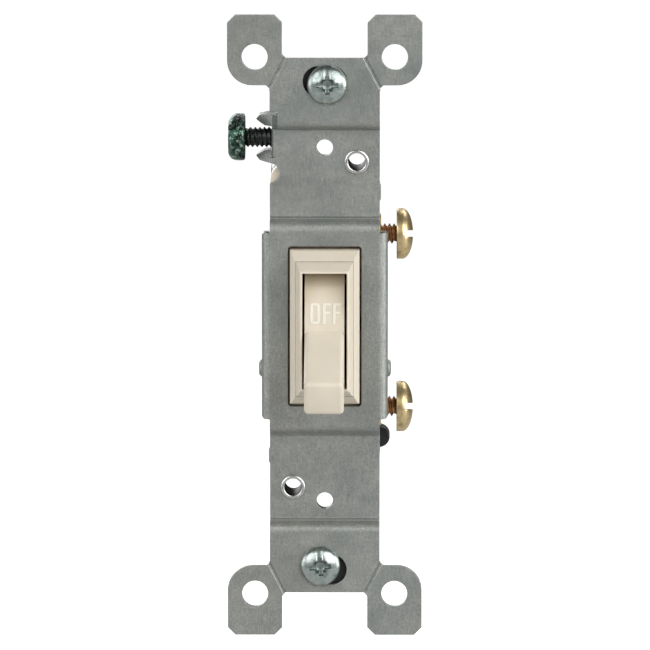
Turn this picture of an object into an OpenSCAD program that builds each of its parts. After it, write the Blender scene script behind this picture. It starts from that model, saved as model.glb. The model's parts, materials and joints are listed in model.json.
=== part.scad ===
// Toggle wall switch: a framed single-pole switch on a wrap-around mounting strap.
// X runs to the right, Z up along the strap, and the front faces -Y. The origin is the
// centre of the four ear holes, on the front face of the strap's end plates.
// The toggle is drawn in its OFF position, with the handle down.

/* [Strap] */
// Length of the strap over its plaster ears
strap_len = 105.8; // [105:0.1:108]
// Width of the strap over its plaster ears
ears_w = 32.9; // [32:0.1:34]
// Width of the flat stretches of the strap
strap_w = 18.6; // [18.4:0.1:19]
// Thickness of the strap's steel
strap_t = 1.2; // [1.1:0.05:1.25]
// Depth of the two stepped-back stretches that hold the wall-plate screws
step_back = 2.2; // [2:0.1:2.3]
// Width of the middle channel over its back-bent flanges
channel_w = 21.3; // [21.2:0.1:21.6]
// Length of the middle channel's flanges
channel_len = 31.8; // [31:0.1:32]

/* [Ears and fixing holes] */
// Distance between the ear holes across the strap
ear_pitch_x = 23.6; // [23.4:0.1:24]
// Distance between the ear holes along the strap
ear_pitch_z = 91.6; // [91:0.1:92]
// Diameter of an ear hole
ear_hole_d = 4.4; // [4:0.1:4.6]
// Distance between the tapped holes for the wall plate
plate_pitch = 60.33; // [60:0.01:60.6]
// Bore of a tapped hole for the wall plate
plate_hole_d = 2.8; // [2.7:0.05:2.9]
// Distance between the centres of the two slots for the box screws
box_pitch = 83.34; // [83:0.02:83.6]
// Length of a box-screw slot
slot_len = 7.4; // [7.2:0.1:8]
// Height of a box-screw slot
slot_h = 5.1; // [4.6:0.1:5.2]

/* [Bezel] */
// Width of the bezel at its foot
bezel_w = 11.74; // [11.4:0.02:11.8]
// Length of the bezel at its foot
bezel_len = 26.2; // [26:0.1:26.4]
// How far the bezel's rim stands in front of the strap
bezel_h = 6.0; // [5.8:0.1:6]
// Width of the opening that the toggle moves in
opening_w = 7.5; // [7.4:0.02:7.6]
// Length of the opening that the toggle moves in
opening_len = 19.66; // [19.6:0.02:19.8]

/* [Toggle] */
// Width of the toggle
toggle_w = 6.7; // [6.6:0.1:7]
// Distance from the pivot to the end of the handle
toggle_reach = 23.7; // [22:0.1:24]
// Radius of the drum that closes the opening
drum_r = 10.5; // [10.4:0.05:10.5]
// Thickness of the handle where it leaves the drum
handle_root = 9.04; // [8.6:0.02:9.1]
// Thickness of the handle at its end
handle_tip = 6.4; // [6:0.1:6.7]
// Swing of the toggle from OFF to ON, in degrees
toggle_swing = 50; // [46:1:50]
// Distance of the pivot behind the strap's front face
pivot_y = 5.0; // [4.9:0.05:5]

/* [Screws] */
// Diameter of every screw's thread
thread_d = 3.5; // [3.4:0.02:3.5]
// Diameter of a terminal screw's head
term_head_d = 8.6; // [8:0.1:8.8]
// Diameter of the ground screw's head
ground_head_d = 8.0; // [7.6:0.1:8]
// Diameter of a box screw's head
box_head_d = 6.8; // [6.4:0.1:7]
// Length of a box screw under its head
box_screw_len = 19; // [16:1:22]

/* [Body] */
// Width of the plastic body
body_w = 18.4; // [18.2:0.1:18.6]
// Length of the body's deep part
body_len = 47; // [46.6:0.1:47.4]
// Depth of the body's back behind the strap's front face
body_back = 25.5; // [25.4:0.1:27]
// Distance of the two rivets from the middle, across the strap
rivet_x = 5.4; // [5.2:0.1:5.6]
// Distance of the two rivets from the middle, along the strap
rivet_z = 27.8; // [27.6:0.1:28]

/* [Hidden] */
$fn = 64;

// Overrun of a cut past the face it leaves
over = 1;
// Radial clearance of a running fit, and the gap between parts that only meet
run_gap = 0.05;
part_gap = 0.1;

// Strap
half_w = strap_w / 2;
half_len = strap_len / 2;
end_z = 45.6;
ear_in_x = 7.2;
ear_low_z = 41;
ear_chamfer = 1.3;
ear_round = 4.2;
corner_fill = 0.6;
recess_out_z = 33.55;
end_plate_z = 34.45;
recess_in_z = [18.1, 18.75];
channel_z = [17.15, 17.2];
bend_r = 1.1;
tight_r = 0.75;
plate_r = 1.2;
ease_r = 1.6;
flange_deep = 10;
flange_shallow = 3.5;
flange_mid = 10.3;
plate_x = 8.9;
window_w = bezel_w + 0.7;
window_len = bezel_len + 1.1;
plate_back = step_back + strap_t;
collar_r = 2.3;
collar_h = 1.1;
score_side = 0.46;
dimple_z = -7.8;
dimple_y = 5;
dimple_h = 0.55;
dimple_r = 1.45;

// Ground terminal: a tab bent back from the strap's left edge
ground_y = 7;
ground_z = 31.4;
tab_z = [28.4, 33.2];
claw_y = [4.4, 9.8];
claw_x = -11.6;
web_x = -8.4;
relief_z = 36.5;
notch_z = 25.8;
notch_r = 1.7;

// Body
part_y = 7;
lug_back = 10;
half_body = body_w / 2;
cover_len = 54;
raised_len = 32;
raised_x = 8.9;
moat_y = 3.4;
lug_r = 3.1;
release_y = [11, 15];
release_z = -20.6;
release_r = 1.78;
gauge_x = -7.4;
gauge_len = 15.9;
wall_y = 23.5;
room_x = 6;
room_z = 18.5;
rivet_out_r = 1.75;
rivet_in_r = 1.43;
rivet_hole_r = rivet_out_r + part_gap;
trunnion_r = 2;
trunnion_x = 6;
shelf_x = 5.1;
drum_room_r = drum_r + 0.3;

// Terminals
term_y = 8;
term_z = 14.8;
term_face = 9.5;
term_t = 1.0;
term_half = 2.9;
cross_y = 12.5;
blade_x = 4.5;
blade_back = 18.6;
pocket_back = cross_y + term_t / 2 + part_gap;
wire_x = 3.1;
wire_z = 20.6;
wire_hole_r = 1.05;
clip_room_z = 22.3;
clip_room_y = 19.6;

// Rocker
rocker_y = 19.5;
rocker_swing = 12;
rocker_t = 0.8;
rocker_w = 4;
saddle = 3.5;
pin_r = 0.8;
contact_z = -13.2;
contact_r = 1.6;
fixed_face = 16.7;
tongue_back = 16;

// Spring: from the ball on the toggle's leg to the rocker's saddle
ball_y = 3.4;
ball_r = 2.2;
off_angle = toggle_swing / 2;
spring_from = [pivot_y + ball_y * cos(off_angle), ball_y * sin(off_angle)];
seat = saddle + rocker_t / 2;
spring_to = [rocker_y - seat * cos(rocker_swing / 2), -seat * sin(rocker_swing / 2)];
spring_r = 1.45;
wire_r = 0.22;
spring_turns = 5;

// Screws
thread_r = thread_d / 2;
tapped_r = thread_r + run_gap;
term_head_x = 12.13;
term_head_h = 2.8;
term_screw_len = 7.9;
ground_head_x = -13.5;
ground_head_h = 2.9;
box_head_h = 2;
neck_r = 1.5;
neck_len = 3.6;
slot_w = 1.1;
slot_deep = 1.4;
slot_turn = -8;
box_screw_top = [0.42, 41.15];
box_screw_bottom = [-0.73, -40.95];
retainer_y = [strap_t, strap_t + 1.4];
retainer_half = [5.8, 4.1];

zinc = [0.72, 0.73, 0.72];
steel = [0.58, 0.6, 0.58];
almond = [0.86, 0.82, 0.74];
black = [0.1, 0.1, 0.11];
brass = [0.78, 0.65, 0.35];
copper = [0.72, 0.45, 0.28];
silver = [0.85, 0.85, 0.83];

// ---- Helpers ----

// Block between two corners
module block(low, high) translate(low) cube(high - low);

// A drawing in (X, Z) made solid from y0 to y1
module solid_y(y0, y1) translate([0, y1, 0]) rotate([90, 0, 0]) linear_extrude(y1 - y0) children();

// A drawing in (Y, Z) made solid from x0 to x1
module solid_x(x0, x1) translate([x0, 0, 0]) rotate([90, 0, 90]) linear_extrude(x1 - x0) children();

// A drawing in (X, Y) made solid from z0 to z1
module solid_z(z0, z1) translate([0, 0, z0]) linear_extrude(z1 - z0) children();

// Round bar along Y at (x, z), and along X at (y, z)
module bar_y(x, z, r, y0, y1) translate([x, y0, z]) rotate([-90, 0, 0]) cylinder(h = y1 - y0, r = r);
module bar_x(y, z, r, x0, x1) translate([x0, y, z]) rotate([0, 90, 0]) cylinder(h = x1 - x0, r = r);

// Children and their copy turned half a turn about Y: the diagonal partner
module diagonal_pair() for (turn = [0, 180]) rotate([0, turn, 0]) children();

// Children and their mirror image in Z
module both_ends() for (flip = [0, 1]) mirror([0, 0, flip]) children();

// Rectangle with round corners, centred
module round_rect(w, h, r) {
    square([w, h - 2 * r], center = true);
    square([w - 2 * r, h], center = true);
    for (x = [-1, 1], z = [-1, 1]) translate([x * (w / 2 - r), z * (h / 2 - r)]) circle(r);
}

function unit(a) = [cos(a), sin(a)];
function left_of(a) = [-sin(a), cos(a)];
function heading(a, b) = atan2(b.y - a.y, b.x - a.x);
function turn(a, b) = let(d = b - a) d > 180 ? d - 360 : d < -180 ? d + 360 : d;

// Points of one face of a bent sheet: `off` is the distance to the left of its middle line,
// and `radii` one bend radius, or a list with one for each point of the path
function bent_face(path, radii, off, steps = 6) = let(last = len(path) - 1) concat(
    [path[0] + off * left_of(heading(path[0], path[1]))],
    [for (i = [1 : last - 1])
        let(
            r = is_list(radii) ? radii[i] : radii,
            a = heading(path[i - 1], path[i]),
            bend = turn(a, heading(path[i], path[i + 1])),
            side = sign(bend),
            start = path[i] - r * tan(abs(bend) / 2) * unit(a),
            centre = start + side * r * left_of(a)
        )
        for (k = [0 : steps]) centre - (side * r - off) * left_of(a + bend * k / steps)],
    [path[last] + off * left_of(heading(path[last - 1], path[last]))]);

function backwards(list) = [for (i = [len(list) - 1 : -1 : 0]) list[i]];

// Section of a sheet of thickness t bent along a path, r to its middle line
module bent_sheet(path, t, r) polygon(
    concat(bent_face(path, r, t / 2), backwards(bent_face(path, r, -t / 2))));

// ---- Strap ----

// Section along the strap. The steps beside the channel differ a little, upper one first
module strap_profile() {
    front = strap_t / 2;
    deep = step_back + strap_t / 2;
    function path(side) = [[front, half_len + over], [front, end_plate_z], [deep, recess_out_z],
        [deep, recess_in_z[side]], [front, channel_z[side]]];
    radii = [0, plate_r, tight_r, tight_r, ease_r];
    bent_sheet(concat(path(0), [for (p = backwards(path(1))) [p.x, -p.y]]), strap_t,
        concat(radii, backwards(radii)));
}

// One plaster ear, in the quarter where X and Z are positive
module ear_outline() {
    out_x = ears_w / 2;
    polygon([[half_w - corner_fill, ear_low_z - corner_fill], [half_w, ear_low_z - corner_fill],
        [half_w + corner_fill, ear_low_z], [out_x - ear_round, ear_low_z],
        [out_x, ear_low_z + ear_round], [out_x, half_len - ear_chamfer],
        [out_x - ear_chamfer, half_len], [ear_in_x + ear_chamfer, half_len],
        [ear_in_x, half_len - ear_chamfer], [ear_in_x, end_z + corner_fill],
        [ear_in_x - corner_fill, end_z]]);
    intersection() {
        translate([out_x - ear_round, ear_low_z + ear_round]) circle(ear_round);
        square([out_x, half_len]);
    }
}

// Outline of the flat strap: small bumps on its edges, and the left edge cut away
// beside the ground tab and rounded out below it
module strap_outline() difference() {
    union() {
        square([strap_w, 2 * end_z], center = true);
        for (x = [0, 1], z = [0, 1]) mirror([x, 0]) mirror([0, z]) ear_outline();
        translate([half_w - 0.4, 22.6]) round_rect(1.2, 3, 0.5);
        translate([0.4 - half_w, -22.4]) round_rect(1.2, 2.8, 0.5);
    }
    translate([-ears_w, tab_z[0]]) square([ears_w + web_x, tab_z[1] - tab_z[0]]);
    translate([-ears_w, tab_z[1] - 0.1]) square([ears_w + web_x + 0.4, relief_z - tab_z[1] + 0.1]);
    translate([-half_w, notch_z]) circle(notch_r);
    for (x = [-1, 1]) translate([x * (plate_x + 5), 0]) square([10, channel_len - 0.4], center = true);
}

// Middle channel: the plate with a flange bent back along each side
module channel() {
    flange_x = channel_w / 2 - strap_t / 2;
    path = [[-flange_x, flange_deep], [-flange_x, strap_t / 2], [flange_x, strap_t / 2],
        [flange_x, flange_deep]];
    difference() {
        solid_z(-channel_len / 2, channel_len / 2) bent_sheet(path, strap_t, bend_r);
        both_ends() block([-channel_w, flange_shallow, flange_mid],
            [channel_w, flange_deep + over, channel_len]);
        for (x = [-1, 1], z = [-1, 1]) translate([x * channel_w / 2, 0, z * channel_len / 2])
            rotate([0, 45, 0]) cube([0.5, 4 * flange_deep, 0.5], center = true);
    }
    for (flip = [0, 1]) mirror([flip, 0, 0]) translate([channel_w / 2, dimple_y, dimple_z])
        rotate([0, 90, 0]) rotate_extrude() polygon([[0, -0.5], [dimple_r, -0.5], [dimple_r, 0.1],
            [dimple_r - 0.1, 0.6 * dimple_h], [dimple_r - 0.45, 0.95 * dimple_h], [0, dimple_h]]);
}

// Ground tab: bent back from the left edge, with a claw above and below its screw
module ground_tab() {
    solid_z(tab_z[0], tab_z[1]) bent_sheet([[-6, plate_back - strap_t / 2],
        [web_x, plate_back - strap_t / 2], [web_x, claw_y[1] - 0.8]], strap_t, 0.9);
    claw = [[web_x + 0.5, 3.4], [web_x + 0.1, 3.95], [-9.6, 4.15], [claw_x + 0.5, 3.85],
        [claw_x - 0.1, 3.1], [claw_x + 0.6, 2.6], [-10.2, 2.15], [web_x - 0.5, 2.1]];
    intersection() {
        solid_y(claw_y[0], claw_y[1]) translate([0, ground_z])
            polygon(concat(claw, backwards([for (p = claw) [p.x, -p.y]])));
        solid_z(0, half_len) polygon([[web_x + 1, claw_y[0]], [web_x - 0.6, claw_y[0]],
            [claw_x - 0.6, claw_y[1] - 2.4], [claw_x - 0.6, claw_y[1] - 0.6],
            [claw_x + 0.6, claw_y[1]], [web_x + 1, claw_y[1]]]);
    }
}

// Score line across the corner where an ear breaks off
module ear_score() translate([8, 0, 43.3]) rotate([0, -27.4, 0]) rotate([0, 0, 45])
    cube([score_side, score_side, 6.6], center = true);

module strap() color(steel) difference() {
    union() {
        intersection() {
            solid_x(-ears_w, ears_w) strap_profile();
            solid_y(-over, plate_back + over) strap_outline();
        }
        channel();
        ground_tab();
        both_ends() bar_y(0, plate_pitch / 2, collar_r, plate_back - 0.1, plate_back + collar_h);
    }
    solid_y(-over, flange_deep) round_rect(window_w, window_len, 0.6);
    both_ends() {
        solid_y(-over, plate_back) translate([0, box_pitch / 2])
            round_rect(slot_len, slot_h, slot_h / 2 - 0.01);
        bar_y(0, plate_pitch / 2, plate_hole_d / 2, -over, body_back);
        for (x = [-1, 1]) bar_y(x * ear_pitch_x / 2, ear_pitch_z / 2, ear_hole_d / 2, -over, 2 * strap_t);
        for (flip = [0, 1]) mirror([flip, 0, 0]) ear_score();
    }
    diagonal_pair() bar_y(rivet_x, rivet_z, rivet_hole_r, -over, body_back);
    bar_x(ground_y, ground_z, tapped_r, -ears_w, -4);
}

// ---- Plastic body ----

// Outline of the body's front part with its two rivet lugs
module body_outline() {
    round_rect(body_w, cover_len, 2.4);
    for (s = [-1, 1]) {
        translate([s * rivet_x, s * rivet_z]) circle(lug_r);
        translate([s * rivet_x - lug_r, s * (rivet_z - 3) - 3]) square([2 * lug_r, 6]);
    }
}

// Side of the bezel from foot to rim, as [distance in from the foot, height in front]:
// a rounded foot, the outer tier, a fine groove, and the inner tier up to the rounded rim.
// `tier` and `rim` are how far in the groove and the rim lie.
function bezel_side(tier, rim) = [[0, -strap_t - moat_y], [0, 0.55], [0.08, 0.8], [0.24, 1],
    [tier - 0.22, 2.95], [tier - 0.08, 3.12], [tier + 0.08, 3.16], [tier + 0.12, 3.34],
    [tier + 0.2, 3.62], [tier + 0.3, 3.82], [rim - 0.22, 5.72], [rim - 0.1, 5.88],
    [rim + 0.06, bezel_h]];

// The bezel's outline across, in (X, Y), for a foot of half width `foot`
module bezel_outline(foot, tier, rim) {
    side = bezel_side(tier, rim);
    polygon(concat([for (p = side) [p.x - foot, -p.y]], backwards([for (p = side) [foot - p.x, -p.y]])));
}

module bezel() intersection() {
    solid_z(-bezel_len, bezel_len)
        bezel_outline(bezel_w / 2, 1, (bezel_w - opening_w) / 2 - 0.3);
    rotate([0, 90, 0]) solid_z(-bezel_w, bezel_w)
        bezel_outline(bezel_len / 2, 1.6, (bezel_len - opening_len) / 2 - 0.3);
}

module bezel_cover() color(almond) difference() {
    union() {
        solid_y(plate_back, part_y) body_outline();
        block([-raised_x, strap_t, -raised_len / 2], [raised_x, plate_back + 0.1, raised_len / 2]);
        bezel();
    }
    solid_y(-over, moat_y) difference() {
        round_rect(window_w + 0.8, window_len + 0.8, 0.6);
        square([bezel_w, bezel_len], center = true);
    }
    block([-opening_w / 2, -bezel_h - over, -opening_len / 2],
        [opening_w / 2, part_y + over, opening_len / 2]);
    bar_x(pivot_y, 0, drum_room_r, -opening_w / 2, opening_w / 2);
    block([-trunnion_x - part_gap, pivot_y, -trunnion_r - run_gap],
        [trunnion_x + part_gap, part_y + over, trunnion_r + run_gap]);
    bar_x(pivot_y, 0, trunnion_r + run_gap, -trunnion_x - part_gap, trunnion_x + part_gap);
    both_ends() {
        bar_y(0, plate_pitch / 2, collar_r + 0.4, 0, body_back);
        block([term_face - term_t - part_gap, 5.5, term_z - term_half - part_gap],
            [half_body + over, part_y + over, term_z + term_half + part_gap]);
        bar_x(term_y, term_z, thread_r + 0.3, 0, ears_w);
    }
    diagonal_pair() bar_y(rivet_x, rivet_z, rivet_hole_r, 0, body_back);
}

// U-shaped bearing for one end of the rocker's pin
module pin_notch() {
    translate([rocker_y, 0]) circle(pin_r + run_gap);
    translate([rocker_y - 6, -pin_r - run_gap]) square([6, 2 * (pin_r + run_gap)]);
}

module base_housing() color(black) {
    difference() {
        union() {
            solid_y(part_y, lug_back) body_outline();
            solid_y(lug_back, body_back - 1) round_rect(body_w, body_len, 1.5);
            solid_y(body_back - 1, body_back) round_rect(body_w - 1, body_len - 1, 1);
            bar_y(half_body, release_z, release_r, release_y[0], release_y[1]);
        }
        block([-room_x, part_y - over, -room_z], [room_x, wall_y, room_z]);
        both_ends() {
            block([-1.7, part_y - over, room_z - over], [room_x, clip_room_y, clip_room_z]);
            block([room_x - over, part_y - over, term_z - term_half - part_gap],
                [half_body + 3, pocket_back, term_z + term_half + part_gap]);
            bar_y(wire_x, wire_z, wire_hole_r, clip_room_y - over, body_back + over);
            block([-0.7, clip_room_y - over, wire_z - 1.3], [0.7, body_back + over, wire_z + 1.3]);
            bar_y(0, plate_pitch / 2, collar_r + 0.4, 0, body_back);
        }
        diagonal_pair() bar_y(rivet_x, rivet_z, rivet_hole_r, 0, body_back);
        block([gauge_x, body_back - 0.5, -gauge_len / 2], [gauge_x + 1.8, body_back + over, gauge_len / 2]);
        both_ends() bar_y(-room_x, body_len / 2 - 3, 1.2, body_back - 0.3, body_back + over);
    }
    difference() {
        block([-5, 17, -2], [-4, wall_y + 0.1, 2]);
        solid_x(-5 - over, -4 + over) pin_notch();
    }
    for (flip = [0, 1]) mirror([flip, 0, 0])
        block([shelf_x, pivot_y + trunnion_r + run_gap, -2.5], [room_x + 0.1, 11, 2.5]);
}

// ---- Toggle and snap mechanism ----

// Handle: four round-edged corners at the root and four at the tip
module handle() {
    edge = 0.8;
    root_y = drum_r * cos(asin(handle_root / 2 / drum_r)) - 2;
    hull() for (x = [-1, 1], z = [-1, 1]) {
        translate([x * (toggle_w / 2 - edge), -root_y, z * (handle_root / 2 - edge + 0.15)])
            sphere(edge, $fn = 32);
        translate([x * (toggle_w / 2 - edge), edge - toggle_reach, z * (handle_tip / 2 - edge)])
            sphere(edge, $fn = 32);
    }
}

module toggle() color(almond) translate([0, pivot_y, 0]) rotate([off_angle, 0, 0]) {
    difference() {
        intersection() {
            bar_x(0, 0, drum_r, -toggle_w / 2, toggle_w / 2);
            block([-toggle_w, -drum_r - over, -drum_r - over], [toggle_w, 0, drum_r + over]);
        }
        intersection() {
            bar_x(0, 0, drum_r - 1.8, 1.1 - toggle_w / 2, toggle_w / 2 - 1.1);
            block([-toggle_w, -4.5, -drum_r], [toggle_w, over, drum_r]);
        }
    }
    bar_x(0, 0, 3.4, -toggle_w / 2, toggle_w / 2);
    bar_x(0, 0, trunnion_r, -trunnion_x, trunnion_x);
    block([-2, 0, -1.6], [2, ball_y - 1, 1.6]);
    block([-1.2, -5, -1.2], [1.2, 0, 1.2]);
    translate([0, ball_y, 0]) sphere(ball_r, $fn = 48);
    handle();
}

// Helical compression spring, swept ring by ring along its axis
module toggle_spring() color(silver) {
    sides = 8;
    per_turn = 16;
    start = 2.05;
    height = norm(spring_to - spring_from) - start - 0.8;
    tilt = heading(spring_from, spring_to);
    rings = spring_turns * per_turn;
    points = [for (i = [0 : rings], k = [0 : sides - 1])
        let(a = 360 * i / per_turn, b = 360 * k / sides, r = spring_r + wire_r * cos(b))
        [r * cos(a), r * sin(a), start + height * i / rings + wire_r * sin(b)]];
    walls = [for (i = [0 : rings - 1], k = [0 : sides - 1])
        let(n = (k + 1) % sides)
        [i * sides + k, i * sides + n, (i + 1) * sides + n, (i + 1) * sides + k]];
    ends = [backwards([for (k = [0 : sides - 1]) k]), [for (k = [0 : sides - 1]) rings * sides + k]];
    translate([0, spring_from.x, spring_from.y]) rotate([tilt - 90, 0, 0])
        polyhedron(points, concat(walls, ends));
}

// The rocker's own frame: its pivot pin at the origin, turned to the open position
module at_rocker() translate([0, rocker_y, 0]) rotate([rocker_swing / 2, 0, 0]) children();

module contact_rocker() color(copper) at_rocker() {
    solid_x(-rocker_w / 2, rocker_w / 2) bent_sheet([[0, contact_z - 1.9], [0, -4.2],
        [-saddle, -2.2], [-saddle, 2.2], [-0.6, 3.9]], rocker_t, rocker_t);
    bar_y(0, 0, 0.75, -seat - 0.7, -seat + 0.1);
    for (flip = [0, 1]) mirror([flip, 0, 0]) {
        solid_x(rocker_w / 2 - 0.1, rocker_w / 2 + 0.7) {
            polygon([[-seat, -1.9], [0.3, -1.2], [0.3, 1.2], [-seat, 1.9]]);
            circle(1.25);
        }
        bar_x(0, 0, pin_r, rocker_w / 2, 5.2);
    }
}

module moving_contact() color(silver) at_rocker()
    bar_y(0, contact_z, contact_r, -rocker_t / 2 - 0.8, -rocker_t / 2);

module fixed_contact() color(silver)
    bar_y(0, contact_z + 0.2, contact_r, tongue_back, fixed_face);

module bumper_pad() color("dimgray")
    block([-2.2, 21.7, contact_z - 2.6], [2.2, wall_y, contact_z + 1.4]);

// ---- Terminals ----

// Screw plate, crossbar and blade, shared by both terminals, at the upper one's place
module terminal_stem() {
    z0 = term_z - term_half;
    z1 = term_z + term_half;
    plate_x = term_face - term_t / 2;
    difference() {
        solid_z(z0, z1) bent_sheet([[plate_x, 5.7], [plate_x, cross_y], [blade_x, cross_y],
            [blade_x, blade_back]], term_t, term_t);
        bar_x(term_y, term_z, tapped_r, plate_x - 2, ears_w);
    }
    block([blade_x - term_t / 2, cross_y + 1.5, z1 - 0.1], [blade_x + term_t / 2, blade_back, 22]);
}

module load_terminal() color(brass) {
    terminal_stem();
    difference() {
        solid_x(blade_x - term_t / 2, blade_x + term_t / 2) polygon([[cross_y + 1.5, 12],
            [17.6, 7], [17.6, -2], [21.3, -2], [21.3, 8], [blade_back, 17], [cross_y + 1.5, 17]]);
        solid_x(blade_x - term_t, blade_x + term_t) pin_notch();
    }
}

module line_terminal() color(brass) {
    mirror([0, 0, 1]) terminal_stem();
    block([-2, tongue_back - term_t, contact_z - 1.9], [blade_x, tongue_back, contact_z + 2.1]);
}

// Spring clip that bites a wire pushed in from the back
module push_in_clip() solid_z(wire_z - 1.4, wire_z + 1.4)
    bent_sheet([[-1.3, 12.6], [-1.3, 18.9], [0.3, 18.9], [2.1, 14.6]], 0.4, 0.5);

module push_in_clip_load() color(copper) push_in_clip();
module push_in_clip_line() color(copper) mirror([0, 0, 1]) push_in_clip();

// ---- Fasteners ----

// Slotted screw along +Z: the head stands on z = 0 and the thread runs below it. `corner` is
// how far in from its side the head's top rounds off, and `under` the edge below its side
module slotted_screw(head_r, head_h, length, corner, under) {
    rim = 0.3 * head_h + under;
    difference() {
        rotate_extrude() polygon(concat([[0, 0], [head_r - under, 0], [head_r, under]],
            [for (a = [0 : 10 : 80]) [head_r - corner * (1 - cos(a)), rim + (head_h - rim) * sin(a)]],
            [[head_r - corner, head_h], [0, head_h]]));
        translate([-slot_w / 2, -head_r - over, head_h - slot_deep])
            cube([slot_w, 2 * (head_r + over), slot_deep + over]);
    }
    translate([0, 0, -length + 0.6]) cylinder(h = length, r = thread_r);
    translate([0, 0, -length]) cylinder(h = 0.6 + 0.01, r1 = thread_r - 0.6, r2 = thread_r);
}

module terminal_screw(z) color(brass) translate([term_head_x, term_y, z]) rotate([0, 90, 0])
    rotate([0, 0, slot_turn]) slotted_screw(term_head_d / 2, term_head_h, term_screw_len,
        term_head_d / 2 - 0.1, 0.15);
module terminal_screw_top() terminal_screw(term_z);
module terminal_screw_bottom() terminal_screw(-term_z);

module ground_screw() color([0.12, 0.3, 0.2]) translate([ground_head_x, ground_y, ground_z])
    rotate([0, -90, 0]) rotate([0, 0, 35]) slotted_screw(ground_head_d / 2, ground_head_h,
        term_screw_len, 1.5, 0.45);

// Box screw, with a thinner neck under its head where it stands in slot and retainer
module box_screw(at) color(zinc) translate([at.x, 0, at.y]) difference() {
    rotate([90, 0, 0]) slotted_screw(box_head_d / 2, box_head_h, box_screw_len,
        box_head_d / 2 - 0.1, 0.15);
    difference() {
        bar_y(0, 0, thread_r + over, 0, neck_len);
        bar_y(0, 0, neck_r, -over, neck_len + over);
    }
}
module mounting_screw_top() box_screw(box_screw_top);
module mounting_screw_bottom() box_screw(box_screw_bottom);

// Washer that keeps a box screw in its slot
module retainer(at) color(black) difference() {
    solid_y(retainer_y[0], retainer_y[1]) translate(at)
        round_rect(2 * retainer_half.x, 2 * retainer_half.y, 1.2);
    bar_y(at.x, at.y, tapped_r, 0, retainer_y[1] + over);
}
module screw_retainer_top() retainer(box_screw_top);
module screw_retainer_bottom() retainer(box_screw_bottom);

// Hollow rivet through strap, cover and base, rolled over at both ends
module rivet() color(zinc) translate([rivet_x, 0, rivet_z]) rotate([-90, 0, 0])
    rotate_extrude() polygon([[rivet_in_r, step_back - 0.1], [rivet_in_r + 0.25, step_back - 0.4],
        [2.0, step_back - 0.3], [2.1, step_back], [rivet_out_r, step_back], [rivet_out_r, lug_back],
        [2.5, lug_back], [2.4, lug_back + 0.3], [rivet_in_r + 0.25, lug_back + 0.4],
        [rivet_in_r, lug_back + 0.1]]);
module body_rivet_top() rivet();
module body_rivet_bottom() rotate([0, 180, 0]) rivet();

strap();
bezel_cover();
base_housing();
toggle();
toggle_spring();
contact_rocker();
moving_contact();
fixed_contact();
line_terminal();
load_terminal();
push_in_clip_line();
push_in_clip_load();
bumper_pad();
terminal_screw_top();
terminal_screw_bottom();
ground_screw();
mounting_screw_top();
mounting_screw_bottom();
screw_retainer_top();
screw_retainer_bottom();
body_rivet_top();
body_rivet_bottom();
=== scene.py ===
"""Looks of the toggle wall switch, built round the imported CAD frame. Lengths here are in
millimetres until mesh_piece() turns them into metres."""

import json
import math

import bmesh
import bpy
from mathutils import Matrix, Vector

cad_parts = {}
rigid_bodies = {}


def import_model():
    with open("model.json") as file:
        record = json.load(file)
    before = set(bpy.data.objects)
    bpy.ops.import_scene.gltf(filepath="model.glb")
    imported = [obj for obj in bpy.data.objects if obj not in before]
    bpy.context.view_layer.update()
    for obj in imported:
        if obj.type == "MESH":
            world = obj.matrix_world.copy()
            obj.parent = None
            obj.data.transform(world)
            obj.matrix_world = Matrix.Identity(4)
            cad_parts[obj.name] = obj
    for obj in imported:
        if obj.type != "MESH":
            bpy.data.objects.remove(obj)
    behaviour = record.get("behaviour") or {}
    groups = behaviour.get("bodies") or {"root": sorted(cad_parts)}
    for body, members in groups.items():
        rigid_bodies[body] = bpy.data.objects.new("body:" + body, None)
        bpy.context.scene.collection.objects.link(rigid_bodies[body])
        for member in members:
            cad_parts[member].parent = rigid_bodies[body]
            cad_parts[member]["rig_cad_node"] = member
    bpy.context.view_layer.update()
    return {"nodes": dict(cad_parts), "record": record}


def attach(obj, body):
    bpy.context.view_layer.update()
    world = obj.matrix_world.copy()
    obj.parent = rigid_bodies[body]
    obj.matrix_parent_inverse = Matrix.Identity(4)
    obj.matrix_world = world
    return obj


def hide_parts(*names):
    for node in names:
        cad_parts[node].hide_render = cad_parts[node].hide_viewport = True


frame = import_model()
nodes = frame["nodes"]
MM = 0.001

# ---------------------------------------------------------------- materials


def add(tree, kind, inputs=None, **settings):
    """A node of that kind; inputs are values, or sockets to link from."""
    made = tree.nodes.new("ShaderNode" + kind)
    for key, value in settings.items():
        setattr(made, key, value)
    for key, value in (inputs or {}).items():
        if isinstance(value, bpy.types.NodeSocket):
            tree.links.new(value, made.inputs[key])
        else:
            made.inputs[key].default_value = value
    return made


def noise(tree, place, scale, detail=2.0, rough=0.5, stretch=None):
    """Noise with features 1 / scale mm long at the given place; stretch scales its axes."""
    if stretch:
        place = add(tree, "Mapping", {"Vector": place, "Scale": stretch}).outputs[0]
    made = add(tree, "TexNoise", {"Vector": place, "Scale": scale / MM, "Detail": detail,
                                  "Roughness": rough})
    return made.outputs["Fac"]


def spread(tree, value, low, high, out_low=0.0, out_high=1.0):
    """Value from low..high, drawn out to out_low..out_high and clamped."""
    made = add(tree, "MapRange", {0: value, 1: low, 2: high, 3: out_low, 4: out_high})
    return made.outputs[0]


def mix(tree, share, a, b):
    """Colour a to colour b by share; each is a colour or a socket."""
    made = add(tree, "Mix", data_type="RGBA")
    for key, value in ((0, share), (6, a), (7, b)):
        if isinstance(value, bpy.types.NodeSocket):
            tree.links.new(value, made.inputs[key])
        elif key:
            made.inputs[key].default_value = (*value, 1.0)
        else:
            made.inputs[key].default_value = value
    return made.outputs[2]


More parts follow.
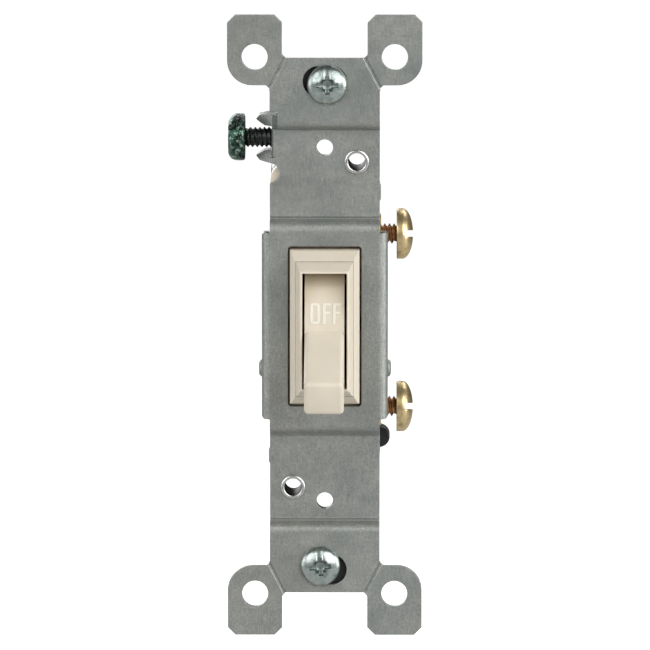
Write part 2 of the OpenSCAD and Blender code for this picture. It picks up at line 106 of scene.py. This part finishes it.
def new_material(name, **fixed):
    """A Principled material, its tree, shader and object coordinates. fixed sets sockets."""
    made = bpy.data.materials.new(name)
    made.use_nodes = True
    tree = made.node_tree
    shader = tree.nodes["Principled BSDF"]
    for key, value in fixed.items():
        socket = shader.inputs[key.replace("_", " ")]
        socket.default_value = value
    return made, tree, shader, add(tree, "TexCoord").outputs["Object"]


def bump(tree, shader, height, strength, depth_mm):
    made = add(tree, "Bump", {"Height": height, "Strength": strength,
                              "Distance": depth_mm * MM})
    tree.links.new(made.outputs[0], shader.inputs["Normal"])


# Pale lines painted along three inner bends of the strap: heights, half width (mm) and strength.
# What makes such lines isn't known; unlike a reflection they stay put from every angle.
CREASES = (18.2, -18.85, -33.4)
CREASE_HALF, CREASE_SHARE = 0.06, 0.55
CREASE_TONE = (0.688, 0.710, 0.677)


def galvanised():
    """Zinc-coated steel sheet: cloudy tone, spangle, fine speckle and rolling scratches."""
    made, tree, shader, at = new_material("galvanised_steel", Metallic=0.72)
    blotch = noise(tree, at, 0.11, 3, 0.55)
    drift = noise(tree, at, 0.055, 2, 0.5, (1, 1, 0.7))
    cloud = noise(tree, at, 0.42, 5, 0.68)
    grain = noise(tree, at, 2.4, 5, 0.72)
    fleck = noise(tree, at, 3.6, 2, 0.5)
    brush = noise(tree, at, 1.5, 4, 0.65, (4.0, 4.0, 0.30))
    across = noise(tree, at, 1.2, 3, 0.6, (0.35, 0.35, 4.0))
    spangle = add(tree, "TexVoronoi", {"Vector": at, "Scale": 0.8 / MM})
    tone = mix(tree, spread(tree, blotch, 0.35, 0.65), (0.329, 0.354, 0.333), (0.408, 0.414, 0.390))
    layers = ((drift, 0.40, 0.62, 0.60, (0.400, 0.386, 0.354)),
              (cloud, 0.40, 0.62, 0.55, (0.239, 0.264, 0.246)),
              (cloud, 0.56, 0.70, 0.40, (0.455, 0.450, 0.427)),
              (grain, 0.36, 0.66, 0.75, (0.181, 0.198, 0.186)),
              (brush, 0.52, 0.74, 0.42, (0.615, 0.625, 0.592)),
              (across, 0.56, 0.78, 0.30, (0.241, 0.259, 0.246)),
              (fleck, 0.64, 0.74, 0.55, (0.725, 0.735, 0.702)))
    for mask, low, high, share, colour in layers:
        tone = mix(tree, spread(tree, mask, low, high, 0, share), tone, colour)
    along = add(tree, "SeparateXYZ", {0: at}).outputs[2]
    for crease in CREASES:
        line = add(tree, "Math", {0: along, 1: crease * MM, 2: CREASE_HALF * MM},
                   operation="COMPARE").outputs[0]
        share = add(tree, "Math", {0: line, 1: CREASE_SHARE}, operation="MULTIPLY").outputs[0]
        tone = mix(tree, share, tone, CREASE_TONE)
    cells = spread(tree, spangle.outputs["Color"], 0, 1, 0, 0.12)
    tone = mix(tree, cells, tone, (0.548, 0.559, 0.537))
    tree.links.new(tone, shader.inputs["Base Color"])
    gloss = add(tree, "Math", {0: spread(tree, blotch, 0.3, 0.7, 0.36, 0.50),
                               1: spread(tree, grain, 0.3, 0.7, -0.05, 0.09)}, operation="ADD")
    tree.links.new(gloss.outputs[0], shader.inputs["Roughness"])
    height = add(tree, "Math", {0: grain, 1: brush}, operation="ADD")
    bump(tree, shader, height.outputs[0], 0.5, 0.03)
    return made


def moulded(name, tone, deep, rough, grain_depth, subsurface=0.0):
    """Moulded plastic: faint flow marks in its colour, and a fine grain."""
    made, tree, shader, at = new_material(name, Specular_IOR_Level=0.45)
    if subsurface:
        shader.inputs["Subsurface Weight"].default_value = subsurface
        shader.inputs["Subsurface Radius"].default_value = (0.9 * MM, 0.6 * MM, 0.35 * MM)
        shader.inputs["Subsurface Scale"].default_value = 1.0
    flow = noise(tree, at, 0.16, 3, 0.5, (1.2, 1.2, 0.5))
    speck = noise(tree, at, 5.5, 2, 0.6)
    colour = mix(tree, spread(tree, flow, 0.35, 0.68), tone, deep)
    colour = mix(tree, spread(tree, speck, 0.62, 0.8, 0, 0.16), colour, [c * 0.7 for c in tone])
    tree.links.new(colour, shader.inputs["Base Color"])
    tree.links.new(spread(tree, flow, 0.3, 0.7, rough - 0.04, rough + 0.06),
                   shader.inputs["Roughness"])
    fine = noise(tree, at, 7.0, 3, 0.7)
    bump(tree, shader, fine, 0.25, grain_depth)
    return made


# Depth of turning marks on metal, in mm
TURNING_MARK = 0.015


def metal(name, tone, stain_and_sheen, rough, stain_and_sheen_at=(0.5, 0.72), scale=0.9, metallic=1.0):
    """Plated or turned metal: stain shows in patches, and turning marks in its gloss. On the green
    thread the patches are lighter, a painted highlight.
    """
    made, tree, shader, at = new_material(name, Metallic=metallic)
    patch = noise(tree, at, scale, 4, 0.6)
    fine = noise(tree, at, 6.0, 3, 0.6)
    colour = mix(tree, spread(tree, patch, *stain_and_sheen_at), tone, stain_and_sheen)
    colour = mix(tree, spread(tree, fine, 0.55, 0.8, 0, 0.3), colour, stain_and_sheen)
    tree.links.new(colour, shader.inputs["Base Color"])
    tree.links.new(spread(tree, patch, 0.3, 0.75, rough - 0.05, rough + 0.12),
                   shader.inputs["Roughness"])
    bump(tree, shader, fine, 0.3, TURNING_MARK)
    return made


def green_dye_painted_highlights():
    """Green screw finish: nearly black in the hollows, with pale patches on the bumps that are a
    painted highlight.
    """
    made, tree, shader, at = new_material("green_screw", Metallic=0.85, Roughness=0.24)
    lump = noise(tree, at, 0.62, 3, 0.6)
    fine = noise(tree, at, 1.5, 3, 0.65)
    colour = mix(tree, spread(tree, lump, 0.42, 0.56), (0.010, 0.016, 0.013), (0.035, 0.100, 0.066))
    # Pale silver-green patches on the bumps: a painted highlight.
    colour = mix(tree, spread(tree, fine, 0.50, 0.66, 0, 0.85), colour, (0.42, 0.52, 0.47))
    tree.links.new(colour, shader.inputs["Base Color"])
    height = add(tree, "Math", {0: lump, 1: fine}, operation="ADD")
    bump(tree, shader, height.outputs[0], 0.8, 0.22)
    return made


MATERIALS = {
    "galvanised_steel": galvanised(),
    "almond_plastic": moulded("almond_plastic", (0.745, 0.675, 0.555), (0.70, 0.63, 0.51), 0.36,
                              0.006, 0.12),
    # The letters' lighter almond is a painted highlight on the raised letters, which are moulded in
    # the toggle's own plastic.
    "almond_letters_painted_highlight": moulded("almond_letters_painted_highlight", (0.86, 0.81, 0.70), (0.82, 0.77, 0.66), 0.38,
                              0.004, 0.12),
    "black_plastic": moulded("black_plastic", (0.016, 0.016, 0.018), (0.024, 0.024, 0.026), 0.42,
                             0.012),
    "black_rubber": moulded("black_rubber", (0.020, 0.020, 0.020), (0.03, 0.03, 0.03), 0.7, 0.02),
    "brass_screw": metal("brass_screw", (0.72, 0.57, 0.31), (0.44, 0.32, 0.15), 0.33),
    "brass_thread": metal("brass_thread", (0.52, 0.31, 0.16), (0.30, 0.16, 0.08), 0.34),
    "green_screw": green_dye_painted_highlights(),
    # The green thread's second, lighter colour paints highlights in patches.
    "green_thread": metal("green_thread", (0.032, 0.036, 0.034), (0.09, 0.11, 0.10), 0.26,
                          (0.5, 0.7), 1.0, 0.8),
    "zinc_screw": metal("zinc_screw", (0.44, 0.49, 0.47), (0.22, 0.27, 0.25), 0.27, (0.42, 0.72)),
    # A darker zinc for the faces inside the cross recess: painted shade.
    "zinc_recess_painted_shade": metal("zinc_recess_painted_shade", (0.30, 0.35, 0.33), (0.15, 0.19, 0.17), 0.35, (0.42, 0.72)),
    "rivet_steel": metal("rivet_steel", (0.66, 0.67, 0.65), (0.38, 0.39, 0.38), 0.26),
    # Near-black for the inside of the rivets' bore: painted shade.
    "rivet_bore_painted_shade": metal("rivet_bore_painted_shade", (0.05, 0.05, 0.05), (0.02, 0.02, 0.02), 0.5),
    "spring_steel": metal("spring_steel", (0.55, 0.55, 0.54), (0.3, 0.3, 0.3), 0.3),
    "copper_alloy": metal("copper_alloy", (0.66, 0.36, 0.20), (0.40, 0.20, 0.11), 0.32),
    "silver_alloy": metal("silver_alloy", (0.80, 0.79, 0.75), (0.5, 0.5, 0.47), 0.25),
    "brass_strip": metal("brass_strip", (0.74, 0.58, 0.30), (0.48, 0.34, 0.16), 0.33),
}

# ---------------------------------------------------------------- mesh tools


def mesh_piece(name, bm, body, slot, look=None, stands_for=()):
    """A piece from a bmesh in millimetres, riding on a CAD body."""
    bmesh.ops.recalc_face_normals(bm, faces=bm.faces)
    bmesh.ops.scale(bm, vec=(MM, MM, MM), verts=bm.verts)
    data = bpy.data.meshes.new(name)
    bm.to_mesh(data)
    bm.free()
    made = bpy.data.objects.new(name, data)
    bpy.context.scene.collection.objects.link(made)
    data.materials.append(MATERIALS[look or slot])
    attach(made, body)
    if stands_for:
        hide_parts(*stands_for)
    return made


def lathe(bm, profile, segments=96):
    """Turns (radius, height) points about Z. A radius of 0 makes one shared point."""
    rings = []
    for r, h in profile:
        if r == 0:
            rings.append([bm.verts.new((0, 0, h))])
        else:
            rings.append([bm.verts.new((r * math.cos(a), r * math.sin(a), h))
                          for a in (2 * math.pi * k / segments for k in range(segments))])
    for low, high in zip(rings, rings[1:]):
        for k in range(segments):
            n = (k + 1) % segments
            face = [low[k % len(low)], low[n % len(low)], high[n % len(high)], high[k % len(high)]]
            face = list(dict.fromkeys(face))
            if len(face) > 2:
                bm.faces.new(face)
    return rings


# 6-32 thread: outer radius, pitch and depth, in mm
THREAD_R, PITCH, THREAD_DEEP = 1.745, 0.79, 0.46
# Run-out lengths of a thread at its tip and under its head, and the taper of its tip, in mm
TIP_RUN, HEAD_RUN, TIP_TAPER, TIP_LEN = 0.7, 0.5, 0.55, 0.6
WELD_GAP, THIN_FACE = 0.0015, 0.0005


def thread(bm, low, high, crest, depth=THREAD_DEEP, segments=48):
    """A screw thread along Z from low to high with tapered ends, closed at both ends."""
    section = ((0.0, 0.0), (0.12, 0.0), (0.44, 1.0), (0.56, 1.0), (0.88, 0.0))
    turns = int((high - low) / PITCH) + 3
    rows = []
    for row in range(turns * len(section)):
        turn, part = divmod(row, len(section))
        share, rise = section[part]
        ring = []
        for k in range(segments + 1):
            h = low + (turn - 1.5 + share + k / segments) * PITCH
            inside = min(max(h, low), high)
            fade = min(1.0, (inside - low) / TIP_RUN, (high - inside) / HEAD_RUN)
            tip = TIP_TAPER * max(0.0, 1 - (inside - low) / TIP_LEN)
            r = crest - depth + depth * rise * max(0.0, fade) - tip * (1 if low < 0 else 0)
            a = 2 * math.pi * k / segments
            ring.append(bm.verts.new((r * math.cos(a), r * math.sin(a), inside)))
        rows.append(ring)
    for lower, upper in zip(rows, rows[1:]):
        for k in range(segments):
            bm.faces.new((lower[k], lower[k + 1], upper[k + 1], upper[k]))
    bmesh.ops.remove_doubles(bm, verts=bm.verts, dist=WELD_GAP)
    bmesh.ops.dissolve_degenerate(bm, dist=THIN_FACE, edges=bm.edges)
    loose = [e for e in bm.edges if e.is_boundary]
    bmesh.ops.holes_fill(bm, edges=loose, sides=0)


def turned(bm, columns, at):
    """Moves a bmesh so that its X, Y and Z axes become columns and its origin lands at."""
    matrix = Matrix(columns).transposed().to_4x4()
    matrix.translation = Vector(at)
    bmesh.ops.transform(bm, matrix=matrix, verts=bm.verts)


def joined(target, other):
    """Adds the bmesh other to target and frees it."""
    data = bpy.data.meshes.new("part")
    other.to_mesh(data)
    other.free()
    target.from_mesh(data)
    bpy.data.meshes.remove(data)


def block(bm, low, high, taper=0.0):
    """Box between two corners; taper draws the low Z side in on all four sides."""
    made = bmesh.ops.create_cube(bm, size=1.0)["verts"]
    for v in made:
        share = [c + 0.5 for c in v.co]
        v.co = [lo + s * (hi - lo) for s, lo, hi in zip(share, low, high)]
        if share[2] < 0.5:
            for axis in (0, 1):
                v.co[axis] += taper * (1 if share[axis] < 0.5 else -1)


def carved(bm, cutters, width, segments=2):
    """Cuts the cutter bmeshes out of bm and rounds what is sharp, width mm wide."""
    def to_object(source):
        data = bpy.data.meshes.new("work")
        bmesh.ops.recalc_face_normals(source, faces=source.faces)
        source.to_mesh(data)
        source.free()
        made = bpy.data.objects.new("work", data)
        bpy.context.scene.collection.objects.link(made)
        return made
    body = to_object(bm)
    tools = [to_object(c) for c in cutters]
    for tool in tools:
        cut = body.modifiers.new("cut", "BOOLEAN")
        cut.operation, cut.solver, cut.object = "DIFFERENCE", "EXACT", tool
    soft = body.modifiers.new("soft", "BEVEL")
    soft.width, soft.segments, soft.limit_method = width, segments, "ANGLE"
    soft.angle_limit, soft.use_clamp_overlap = math.radians(38), True
    done = body.evaluated_get(bpy.context.evaluated_depsgraph_get())
    result = bmesh.new()
    result.from_mesh(done.to_mesh())
    done.to_mesh_clear()
    for o in [body, *tools]:
        data = o.data
        bpy.data.objects.remove(o)
        bpy.data.meshes.remove(data)
    return result


def shade(piece, angle=35, bevel=0.0, segments=2):
    """Smooth shading with its sharp edges kept; a CAD node is welded first."""
    if piece.data.attributes.get("custom_normal"):
        piece.data.attributes.remove(piece.data.attributes["custom_normal"])
    piece.data.polygons.foreach_set("use_smooth", [True] * len(piece.data.polygons))
    if piece.get("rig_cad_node"):
        piece.modifiers.new("weld", "WELD").merge_threshold = 1e-6
        flat = piece.modifiers.new("flat", "DECIMATE")
        flat.decimate_type, flat.angle_limit = "DISSOLVE", math.radians(0.4)
    if bevel:
        made = piece.modifiers.new("bevel", "BEVEL")
        made.width, made.segments, made.limit_method = bevel * MM, segments, "ANGLE"
        made.angle_limit, made.use_clamp_overlap = math.radians(28), False
        made.miter_outer, made.harden_normals = "MITER_ARC", True
        return
    split = piece.modifiers.new("split", "EDGE_SPLIT")
    split.split_angle = math.radians(angle)
    split.use_edge_sharp = False


# ---------------------------------------------------------------- screws and rivets

UP = ((1, 0, 0), (0, 0, 1), (0, -1, 0))
RIGHT = ((0, 0, -1), (0, 1, 0), (1, 0, 0))
HEAD_TURN = math.radians(35)
LEFT = ((0, math.sin(HEAD_TURN), math.cos(HEAD_TURN)),
        (0, math.cos(HEAD_TURN), -math.sin(HEAD_TURN)), (-1, 0, 0))
SLOT, SLOT_DEEP, SLOT_TURN = 1.1, 1.4, math.radians(-8)


def dome(radius, rim, height, corner, under=0.12, steps=14):
    """Profile of a screw head on z = 0: its top rounds off from `corner` inside its side."""
    foot = [math.radians(30 * k) for k in range(4)]
    side = [(0.0, 0.0), (THREAD_R + 0.3, 0.0)]
    side += [(radius - under + under * math.sin(a), under - under * math.cos(a)) for a in foot]
    arc = [math.radians(90 * k / steps) for k in range(steps + 1)]
    side += [(radius - corner * (1 - math.cos(a)), rim + (height - rim) * math.sin(a))
             for a in arc]
    return side + ([(0.0, height)] if corner < radius else [])


def slotted_head(radius, height, corner, under, turn=0.0):
    bm = bmesh.new()
    lathe(bm, dome(radius, 0.3 * height + under, height, corner, under))
    cutter = bmesh.new()
    block(cutter, (-SLOT / 2, -radius - 1, height - SLOT_DEEP), (SLOT / 2, radius + 1, height + 1))
    made = carved(bm, [cutter], 0.09)
    bmesh.ops.rotate(made, cent=(0, 0, 0), matrix=Matrix.Rotation(turn, 3, "Z"), verts=made.verts)
    return made


def cross_head(radius, height, turn):
    """Low domed head with a shallow slot across it and a cross recess round a pit."""
    bm = bmesh.new()
    profile = dome(radius, 0.42, height, radius - 0.05)
    lathe(bm, profile)
    dome_line = [(r, h) for r, h in profile if h > 0.75 and r > 0.01]
    floor_line = [(side * r, h - 0.2) for side, profile in ((-1, dome_line), (1, dome_line[::-1]))
                  for r, h in profile]
    slot = bmesh.new()
    slot.faces.new([slot.verts.new((-0.62, y, z)) for y, z in
                    [(-radius - 1, 0.4), *floor_line, (radius + 1, 0.4), (radius + 1, height + 1),
                     (-radius - 1, height + 1)]])
    sweep = bmesh.ops.extrude_face_region(slot, geom=slot.faces[:])["geom"]
    bmesh.ops.translate(slot, vec=(1.24, 0, 0), verts=[v for v in sweep
                                                      if isinstance(v, bmesh.types.BMVert)])
    wings = []
    for quarter, reach in ((0, 1.55), (1, 1.86)):
        wing = bmesh.new()
        block(wing, (-0.44, -reach, height - 1.15), (0.44, reach, height + 0.1), 0.12)
        to_quarter = Matrix.Rotation(quarter * math.pi / 2, 3, "Z")
        bmesh.ops.rotate(wing, cent=(0, 0, 0), matrix=to_quarter, verts=wing.verts)
        wings.append(wing)
    pit = bmesh.new()
    lathe(pit, [(0, height - 1.42), (0.85, height - 1.3), (1.36, height + 0.1),
                (0, height + 0.1)], 8)
    made = carved(bm, [slot, *wings, pit], 0.05)
    # Faces inside the recess take material 1, whose darker zinc paints the shade in the recess.
    for face in made.faces:
        centre = face.calc_center_median()
        skin = 0.42 + (height - 0.42) * math.sqrt(max(0, 1 - (centre.xy.length / radius) ** 2))
        face.material_index = int(centre.xy.length < 1.95 and 0.3 < centre.z < skin - 0.3)
    bmesh.ops.rotate(made, cent=(0, 0, 0), matrix=Matrix.Rotation(turn, 3, "Z"), verts=made.verts)
    return made


def screw(name, body, columns, at, head, shank, slot, look):
    """A head and a threaded shank, as one piece each, in the CAD screw's place."""
    turned(head, columns, at)
    top = mesh_piece(name + "_head", head, body, slot, stands_for=[name])
    # The recess faces get the darker zinc that paints their shade.
    if any(face.material_index for face in top.data.polygons):
        top.data.materials.append(MATERIALS["zinc_recess_painted_shade"])
    shade(top, 40)
    turned(shank, columns, at)
    shade(mesh_piece(name + "_thread", shank, body, slot, look), 60)


def plain_thread(low, high, depth=THREAD_DEEP):
    bm = bmesh.new()
    thread(bm, low, high, THREAD_R, depth)
    return bm


# Heads are radius, height, corner and under-edge; everything is in mm
TERMINAL_X, TERMINAL_Y, TERMINAL_Z = 12.13, 8, 14.8
TERMINAL_HEAD = (4.29, 2.79, 4.19, 0.15)
GROUND_AT = (-13.5, 7, 31.4)
GROUND_HEAD = (3.99, 2.89, 1.5, 0.45)
GROUND_THREAD_DEEP = 0.32
SHORT_SHANK = (-7.9, 0.05)
# End, X, Z and turn of each box screw
BOX_SCREWS = (("top", 0.42, 41.15, 0.0), ("bottom", -0.73, -40.95, 0.09))
BOX_HEAD_R, BOX_HEAD_H = 3.39, 1.99
BOX_SHANK = (-18.95, -3.3)
BOX_NECK = [(0, -3.7), (1.36, -3.7), (1.48, -3.4), (1.48, 0.05), (0, 0.05)]

for end, z in (("top", TERMINAL_Z), ("bottom", -TERMINAL_Z)):
    screw(f"terminal_screw_{end}", f"terminal_screw_{end}", RIGHT, (TERMINAL_X, TERMINAL_Y, z),
          slotted_head(*TERMINAL_HEAD, SLOT_TURN), plain_thread(*SHORT_SHANK), "brass_screw",
          "brass_thread")
screw("ground_screw", "ground_screw", LEFT, GROUND_AT, slotted_head(*GROUND_HEAD),
      plain_thread(*SHORT_SHANK, GROUND_THREAD_DEEP), "green_screw", "green_thread")
for end, x, z, turn in BOX_SCREWS:
    shank = plain_thread(*BOX_SHANK)
    neck = bmesh.new()
    lathe(neck, BOX_NECK, 48)
    joined(shank, neck)
    screw(f"mounting_screw_{end}", f"mounting_screw_{end}", UP, (x, 0, z),
          cross_head(BOX_HEAD_R, BOX_HEAD_H, turn), shank, "zinc_screw", "zinc_screw")

RIVET_X, RIVET_Z = 5.4, 27.8
for end, side in (("top", 1), ("bottom", -1)):
    bm = bmesh.new()
    lip = [(1.44, 2.3), (1.45, 2.02), (1.49, 1.92), (1.58, 1.86), (1.74, 1.83), (1.90, 1.86),
           (2.02, 1.94), (2.08, 2.06), (2.08, 2.16), (1.95, 2.2)]
    tail = [(2.0 - 0.28 * math.cos(a), 10.02 + 0.40 * math.sin(a))
            for a in (math.radians(180 - 18 * k) for k in range(11))]
    profile = [(1.44, 9.9), *lip, (1.74, 2.25), (1.74, 10.01), *reversed(tail), (1.44, 9.9)]
    lathe(bm, profile, 64)
    bmesh.ops.remove_doubles(bm, verts=bm.verts, dist=0.001)
    # Faces inside the bore take material 1, a near-black metal that paints the shade in the deep
    # hole.
    for face in bm.faces:
        inside = all(math.hypot(v.co.x, v.co.y) < 1.46 for v in face.verts)
        face.material_index = int(inside)
    turned(bm, ((1, 0, 0), (0, 0, -1), (0, 1, 0)), (side * RIVET_X, 0, side * RIVET_Z))
    eyelet = mesh_piece(f"rivet_{end}", bm, "switch_body", "rivet_steel",
                        stands_for=[f"body_rivet_{end}"])
    eyelet.data.materials.append(MATERIALS["rivet_bore_painted_shade"])
    shade(eyelet, 50)

# ---------------------------------------------------------------- letters on the toggle

PIVOT_Y, DRUM_R, OFF_ANGLE = 5.0, 10.5, math.radians(25)


def outline(points):
    """Flat face in (u, v), ready to be raised."""
    bm = bmesh.new()
    bm.faces.new([bm.verts.new((u, v, 0)) for u, v in points])
    return bm


def ring(width, height, stroke, corner=0.42, steps=5):
    """Letter O: the band between two round-cornered rectangles."""
    bm = bmesh.new()
    loops = []
    for inset in (0.0, stroke):
        r = max(corner - inset, 0.12)
        loop = []
        for cx, cy, first in ((1, 1, 0), (0, 1, 90), (0, 0, 180), (1, 0, 270)):
            for k in range(steps + 1):
                a = math.radians(first + 90 * k / steps)
                x = (width - inset - r) if cx else (inset + r)
                y = (height - inset - r) if cy else (inset + r)
                loop.append(bm.verts.new((x + r * math.cos(a), y + r * math.sin(a), 0)))
        loops.append(loop)
    count = len(loops[0])
    for k in range(count):
        n = (k + 1) % count
        bm.faces.new((loops[0][k], loops[0][n], loops[1][n], loops[1][k]))
    return bm


def letter_f(w, h, s):
    mid = h * 0.46
    return outline([(0, 0), (s, 0), (s, mid), (w * 0.86, mid), (w * 0.86, mid + s), (s, mid + s),
                    (s, h - s), (w, h - s), (w, h), (0, h)])


def letter_n(w, h, s):
    return outline([(0, 0), (s, 0), (s, h - 1.9 * s), (w - s, 0), (w, 0), (w, h), (w - s, h),
                    (w - s, 1.9 * s), (s, h), (0, h)])


def on_drum(name, letters, first_angle):
    """Raises flat letters 0.14 mm on the drum; v runs along its rim from first_angle."""
    whole = bmesh.new()
    for bm, u in letters:
        raised = bmesh.ops.extrude_face_region(bm, geom=bm.faces[:])["geom"]
        bmesh.ops.translate(bm, vec=(0, 0, 1), verts=[v for v in raised
                                                      if isinstance(v, bmesh.types.BMVert)])
        for k in range(1, 14):
            bmesh.ops.bisect_plane(bm, geom=bm.verts[:] + bm.edges[:] + bm.faces[:],
                                   plane_co=(0, 0.25 * k, 0), plane_no=(0, 1, 0))
        bmesh.ops.translate(bm, vec=(u, 0, 0), verts=bm.verts)
        joined(whole, bm)
    bmesh.ops.triangulate(whole, faces=[f for f in whole.faces if len(f.verts) > 4])
    for v in whole.verts:
        u, along, lift = v.co
        angle = first_angle + along / DRUM_R
        radius = DRUM_R - 0.08 + 0.22 * lift
        v.co = (u, PIVOT_Y - radius * math.cos(angle), radius * math.sin(angle))
    # The letters wear the lighter almond, a painted highlight.
    made = mesh_piece(name, whole, "toggle", "almond_plastic", "almond_letters_painted_highlight")
    shade(made, 40, 0.05)


HEIGHT, STROKE = 3.55, 0.46
OFF_FROM = math.radians(6.6)
ON_FROM = -2 * OFF_ANGLE - math.radians(26.1)
on_drum("letters_off", [(ring(1.62, HEIGHT, STROKE), -2.40),
                        (letter_f(1.45, HEIGHT, STROKE), -0.24),
                        (letter_f(1.45, HEIGHT, STROKE), 1.42)], OFF_FROM)
on_drum("letters_on", [(ring(1.7, HEIGHT, STROKE), -2.05),
                       (letter_n(1.85, HEIGHT, STROKE), 0.2)], ON_FROM)

# ---------------------------------------------------------------- CAD nodes that stay

BEVELS = {"strap": 0.09, "bezel_cover": 0.10, "base_housing": 0.2,
          "screw_retainer_top": 0.12, "screw_retainer_bottom": 0.12, "load_terminal": 0.1,
          "line_terminal": 0.1}
SLOTS = {row["node"]: row["material_slot"] for row in frame["record"]["subparts"]}
for name, piece in nodes.items():
    if piece.hide_render:
        continue
    piece.data.materials.clear()
    piece.data.materials.append(MATERIALS[SLOTS[name]])
    shade(piece, 32, BEVELS.get(name, 0.0))

# ---------------------------------------------------------------- floor, light and camera

FLOOR_Z = -0.30
WORLD_LIGHT = 0.11
bm = bmesh.new()
bmesh.ops.create_grid(bm, x_segments=8, y_segments=8, size=30.0)
floor_data = bpy.data.meshes.new("floor")
bm.to_mesh(floor_data)
bm.free()
floor = bpy.data.objects.new("floor", floor_data)
floor.location = (0, 0, FLOOR_Z)
bpy.context.scene.collection.objects.link(floor)
pale, tree, shader, at = new_material("pale_floor", Roughness=0.9)
shader.inputs["Emission Color"].default_value = (1, 1, 1, 1)
seen = add(tree, "LightPath").outputs["Is Camera Ray"]
tree.links.new(spread(tree, seen, 0, 1, 0.0, 1.0), shader.inputs["Emission Strength"])
cloud = add(tree, "TexNoise", {"Vector": at, "Scale": 0.7}).outputs["Fac"]
tree.links.new(mix(tree, cloud, (0.52, 0.52, 0.518), (0.55, 0.55, 0.55)),
               shader.inputs["Base Color"])
floor_data.materials.append(pale)

scene = bpy.context.scene
scene.view_settings.view_transform = "Standard"
scene.view_settings.look = "None"
world = bpy.data.worlds.new("studio")
scene.world = world
world.use_nodes = True
tree = world.node_tree
ground = tree.nodes["Background"]
ground.inputs["Color"].default_value = (1, 1, 1, 1)
seen = add(tree, "LightPath").outputs["Is Camera Ray"]
tree.links.new(spread(tree, seen, 0, 1, WORLD_LIGHT, 1.0), ground.inputs["Strength"])


def soft_box(name, azimuth, elevation, distance, size, watts):
    """Square area light round the object, aimed at it."""
    data = bpy.data.lights.new(name, "AREA")
    data.size, data.energy = size, watts
    made = bpy.data.objects.new(name, data)
    a, e = math.radians(azimuth), math.radians(elevation)
    back = Vector((math.sin(a) * math.cos(e), -math.cos(a) * math.cos(e), math.sin(e)))
    made.location = back * distance
    made.rotation_mode = "QUATERNION"
    made.rotation_quaternion = back.to_track_quat("Z", "Y")
    scene.collection.objects.link(made)


soft_box("key_right", 38, 24, 1.4, 1.1, 13.5)
soft_box("fill_left", -38, 24, 1.5, 1.0, 10)
soft_box("side_right", 82, 8, 1.1, 0.7, 5.5)
soft_box("side_left", -82, 8, 1.1, 0.7, 2.8)
soft_box("rim_back", 150, 45, 1.4, 0.9, 6)
soft_box("back_fill", 205, 18, 1.5, 1.1, 11)

AZIMUTH, ELEVATION, DISTANCE = math.radians(0.5), math.radians(8.3), 1.5
PIXELS, PIXELS_PER_MM, SENSOR = 650, 5.92, 36.0
AIM = (0.05, 0, 0.27)
cam_data = bpy.data.cameras.new("camera")
cam_data.sensor_width = SENSOR
cam_data.lens = PIXELS_PER_MM * DISTANCE / MM / PIXELS * SENSOR
cam_data.clip_start, cam_data.clip_end = 0.05, 100
camera = bpy.data.objects.new("camera", cam_data)
scene.collection.objects.link(camera)
back = Vector((math.sin(AZIMUTH) * math.cos(ELEVATION), -math.cos(AZIMUTH) * math.cos(ELEVATION),
               math.sin(ELEVATION)))
camera.location = Vector(AIM) * MM + back * DISTANCE
camera.rotation_mode = "QUATERNION"
camera.rotation_quaternion = (-back).to_track_quat("-Z", "Y")
scene.camera = camera
